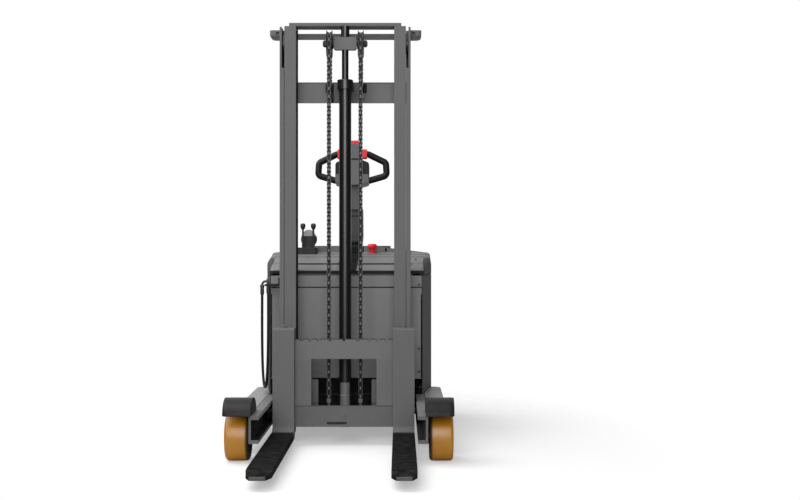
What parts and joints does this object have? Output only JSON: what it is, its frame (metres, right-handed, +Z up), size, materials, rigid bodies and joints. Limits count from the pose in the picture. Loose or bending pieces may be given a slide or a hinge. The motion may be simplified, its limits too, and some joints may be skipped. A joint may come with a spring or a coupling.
{
  "type": "stand-on electric forklift",
  "caption": "Stand-on electric reach forklift: telescopic mast with lift chains, fork carriage and forks, straddle legs on load wheels, tiller and folding step.",
  "frame": {"origin": "centre of the truck's box on the floor under its wheels", "axes": "+Z up, +Y from the fork tips back to the operator's step, +X to the right as seen from in front of the forks"},
  "size_m": [0.98, 2.708, 1.984],
  "materials": {
    "grey_paint": "satin",
    "light_paint": "satin",
    "dark_paint": "satin",
    "gloss_black": "gloss",
    "black_plastic": "fine grain",
    "grey_plastic": "fine grain",
    "red_plastic": "gloss",
    "polyurethane": "satin",
    "wheel_iron": "machined",
    "bright_steel": "ground",
    "dark_steel": "oiled",
    "hose_rubber": "matte",
    "mat_rubber": "ribbed",
    "battery_case": "moulded",
    "aluminium": "extruded"
  },
  "bodies": {
    "truck_body": {"chassis_frame": "dark_paint", "left_leg": "light_paint", "right_leg": "light_paint", "left_fender": "dark_paint", "right_fender": "dark_paint", "load_axles": "dark_steel", "front_panel": "grey_paint", "bonnet": "grey_paint", "left_side_panel": "grey_paint", "right_side_panel": "grey_paint", "console": "grey_plastic", "rear_panel": "grey_paint", "panel_screws": "dark_steel", "battery_pack": "battery_case", "hydraulic_unit": "dark_paint", "motor_controller": "aluminium", "reach_barrel": "gloss_black", "lever_housing": "black_plastic", "hose_elbows": "dark_steel", "mast_hoses": "hose_rubber"},
    "left_load_wheel": {"left_load_hub": "wheel_iron", "left_load_tyre": "polyurethane"},
    "right_load_wheel": {"right_load_hub": "wheel_iron", "right_load_tyre": "polyurethane"},
    "mast": {"reach_carriage": "dark_paint", "reach_rod": "bright_steel", "outer_mast": "grey_paint", "mast_rollers": "dark_steel", "lift_cylinder": "gloss_black"},
    "mast_stage": {"inner_mast": "grey_paint", "inner_rollers": "dark_steel", "lift_rod": "bright_steel", "crosshead": "dark_paint", "lift_chains": "dark_steel"},
    "left_sprocket": {"left_chain_wheel": "dark_steel"},
    "right_sprocket": {"right_chain_wheel": "dark_steel"},
    "carriage": {"fork_carriage": "grey_paint", "carriage_rollers": "dark_steel"},
    "left_fork_arm": {"left_fork": "dark_paint"},
    "right_fork_arm": {"right_fork": "dark_paint"},
    "drive_unit": {"drive_gearbox": "wheel_iron", "drive_motor": "dark_paint", "tiller_base": "black_plastic"},
    "drive_wheel": {"drive_hub": "wheel_iron", "drive_tyre": "polyurethane"},
    "tiller": {"tiller_arm": "grey_plastic", "tiller_head": "grey_plastic", "tiller_handles": "black_plastic"},
    "throttle": {"throttle_rocker": "red_plastic"},
    "safety_button": {"belly_button": "red_plastic"},
    "lift_rocker": {"lift_switch": "black_plastic"},
    "first_lever": {"reach_lever": "black_plastic"},
    "second_lever": {"auxiliary_lever": "black_plastic"},
    "stop_button": {"estop_button": "red_plastic"},
    "left_caster": {"left_caster_fork": "dark_paint"},
    "left_caster_roll": {"left_caster_wheel": "polyurethane"},
    "right_caster": {"right_caster_fork": "dark_paint"},
    "right_caster_roll": {"right_caster_wheel": "polyurethane"},
    "step": {"platform": "dark_paint", "platform_mat": "mat_rubber"}
  },
  "joints": [
    {"name": "mast_reach", "type": "slide", "parent": "truck_body", "child": "mast", "axis": [0, -1, 0], "range_m": [0, 0.55], "deforming": ["mast_hoses"]},
    {"name": "mast_lift", "type": "slide", "parent": "mast", "child": "mast_stage", "axis": [0, 0, 1], "range_m": [0, 1.35], "deforming": ["lift_chains"]},
    {"name": "carriage_lift", "type": "slide", "parent": "mast_stage", "child": "carriage", "axis": [0, 0, 1], "range_m": [0, 1.35]},
    {"name": "left_sprocket_turn", "type": "hinge", "parent": "mast_stage", "child": "left_sprocket", "pos_m": [-0.0743, -0.106, 1.886], "axis": [1, 0, 0], "range_deg": [-1600, 0]},
    {"name": "right_sprocket_turn", "type": "hinge", "parent": "mast_stage", "child": "right_sprocket", "pos_m": [0.0743, -0.106, 1.886], "axis": [1, 0, 0], "range_deg": [-1600, 0]},
    {"name": "left_fork_shift", "type": "slide", "parent": "carriage", "child": "left_fork_arm", "axis": [1, 0, 0], "range_m": [0, 0.12]},
    {"name": "right_fork_shift", "type": "slide", "parent": "carriage", "child": "right_fork_arm", "axis": [-1, 0, 0], "range_m": [0, 0.12]},
    {"name": "left_load_spin", "type": "hinge", "parent": "truck_body", "child": "left_load_wheel", "pos_m": [-0.437, -0.638, 0.105], "axis": [1, 0, 0], "continuous": true},
    {"name": "right_load_spin", "type": "hinge", "parent": "truck_body", "child": "right_load_wheel", "pos_m": [0.437, -0.638, 0.105], "axis": [1, 0, 0], "continuous": true},
    {"name": "steer", "type": "hinge", "parent": "truck_body", "child": "drive_unit", "pos_m": [0, 0.732, 0.25], "axis": [0, 0, 1], "range_deg": [-85, 85]},
    {"name": "drive_spin", "type": "hinge", "parent": "drive_unit", "child": "drive_wheel", "pos_m": [0, 0.732, 0.115], "axis": [1, 0, 0], "continuous": true},
    {"name": "tiller_tilt", "type": "hinge", "parent": "drive_unit", "child": "tiller", "pos_m": [0, 0.732, 0.905], "axis": [-1, 0, 0], "range_deg": [0, 55], "stiffness_Nm_per_rad": 40, "springref_deg": -22.92},
    {"name": "throttle_turn", "type": "hinge", "parent": "tiller", "child": "throttle", "pos_m": [0, 0.78609, 1.43059], "axis": [1, 0, 0], "range_deg": [-20, 20], "stiffness_Nm_per_rad": 0.6},
    {"name": "belly_press", "type": "slide", "parent": "tiller", "child": "safety_button", "axis": [0, -0.1736, -0.9848], "range_m": [0, 0.01], "stiffness_N_per_m": 900, "springref_m": -0.004},
    {"name": "lift_rock", "type": "hinge", "parent": "tiller", "child": "lift_rocker", "pos_m": [0, 0.8409, 1.33259], "axis": [1, 0, 0], "range_deg": [-8, 8], "stiffness_Nm_per_rad": 0.4},
    {"name": "reach_lever_tilt", "type": "hinge", "parent": "truck_body", "child": "first_lever", "pos_m": [-0.25, 0.532, 0.906], "axis": [1, 0, 0], "range_deg": [-14, 14], "stiffness_Nm_per_rad": 3},
    {"name": "auxiliary_lever_tilt", "type": "hinge", "parent": "truck_body", "child": "second_lever", "pos_m": [-0.195, 0.532, 0.906], "axis": [1, 0, 0], "range_deg": [-14, 14], "stiffness_Nm_per_rad": 3},
    {"name": "estop_press", "type": "slide", "parent": "truck_body", "child": "stop_button", "axis": [0, 0, -1], "range_m": [0, 0.008]},
    {"name": "left_caster_swivel", "type": "hinge", "parent": "truck_body", "child": "left_caster", "pos_m": [-0.255, 0.792, 0.23], "axis": [0, 0, 1], "continuous": true},
    {"name": "left_caster_spin", "type": "hinge", "parent": "left_caster", "child": "left_caster_roll", "pos_m": [-0.255, 0.83, 0.0625], "axis": [1, 0, 0], "continuous": true},
    {"name": "right_caster_swivel", "type": "hinge", "parent": "truck_body", "child": "right_caster", "pos_m": [0.255, 0.792, 0.23], "axis": [0, 0, 1], "continuous": true},
    {"name": "right_caster_spin", "type": "hinge", "parent": "right_caster", "child": "right_caster_roll", "pos_m": [0.255, 0.83, 0.0625], "axis": [1, 0, 0], "continuous": true},
    {"name": "step_fold", "type": "hinge", "parent": "truck_body", "child": "step", "pos_m": [0, 0.954, 0.15], "axis": [1, 0, 0], "range_deg": [0, 88]}
  ],
  "couplings": [
    {"joint": "carriage_lift", "follows": "mast_lift", "ratio": 1},
    {"joint": "left_sprocket_turn", "follows": "mast_lift", "rad_per_m": -20.482},
    {"joint": "right_sprocket_turn", "follows": "mast_lift", "rad_per_m": -20.482}
  ]
}
